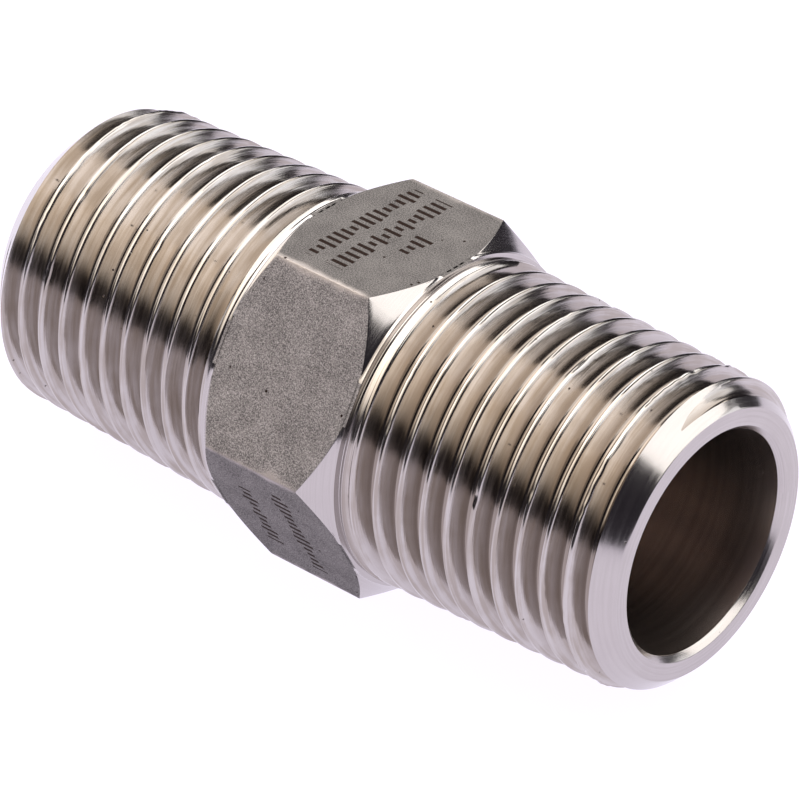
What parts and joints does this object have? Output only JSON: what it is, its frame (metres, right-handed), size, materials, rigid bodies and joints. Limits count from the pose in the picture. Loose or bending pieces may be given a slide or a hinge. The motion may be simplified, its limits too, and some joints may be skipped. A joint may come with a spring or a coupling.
{
  "type": "hex nipple",
  "caption": "Stainless hexagon nipple: a through-bored fitting with a right-hand taper pipe thread on each end and a hexagon in the middle for the wrench.",
  "frame": {"origin": "middle of the hexagon on the bore axis, which is the centre of the bounding box", "axes": "+X along the bore axis, out of one threaded end; +Z along the normal of one hexagon flat; +Y completes a right-handed frame and points at a hexagon corner"},
  "size_m": [0.051, 0.0254, 0.022],
  "materials": {
    "stainless_steel": "turned threads and ends, blasted hexagon flats"
  },
  "bodies": {
    "root": {"nipple_body": "stainless_steel"}
  },
  "joints": []
}
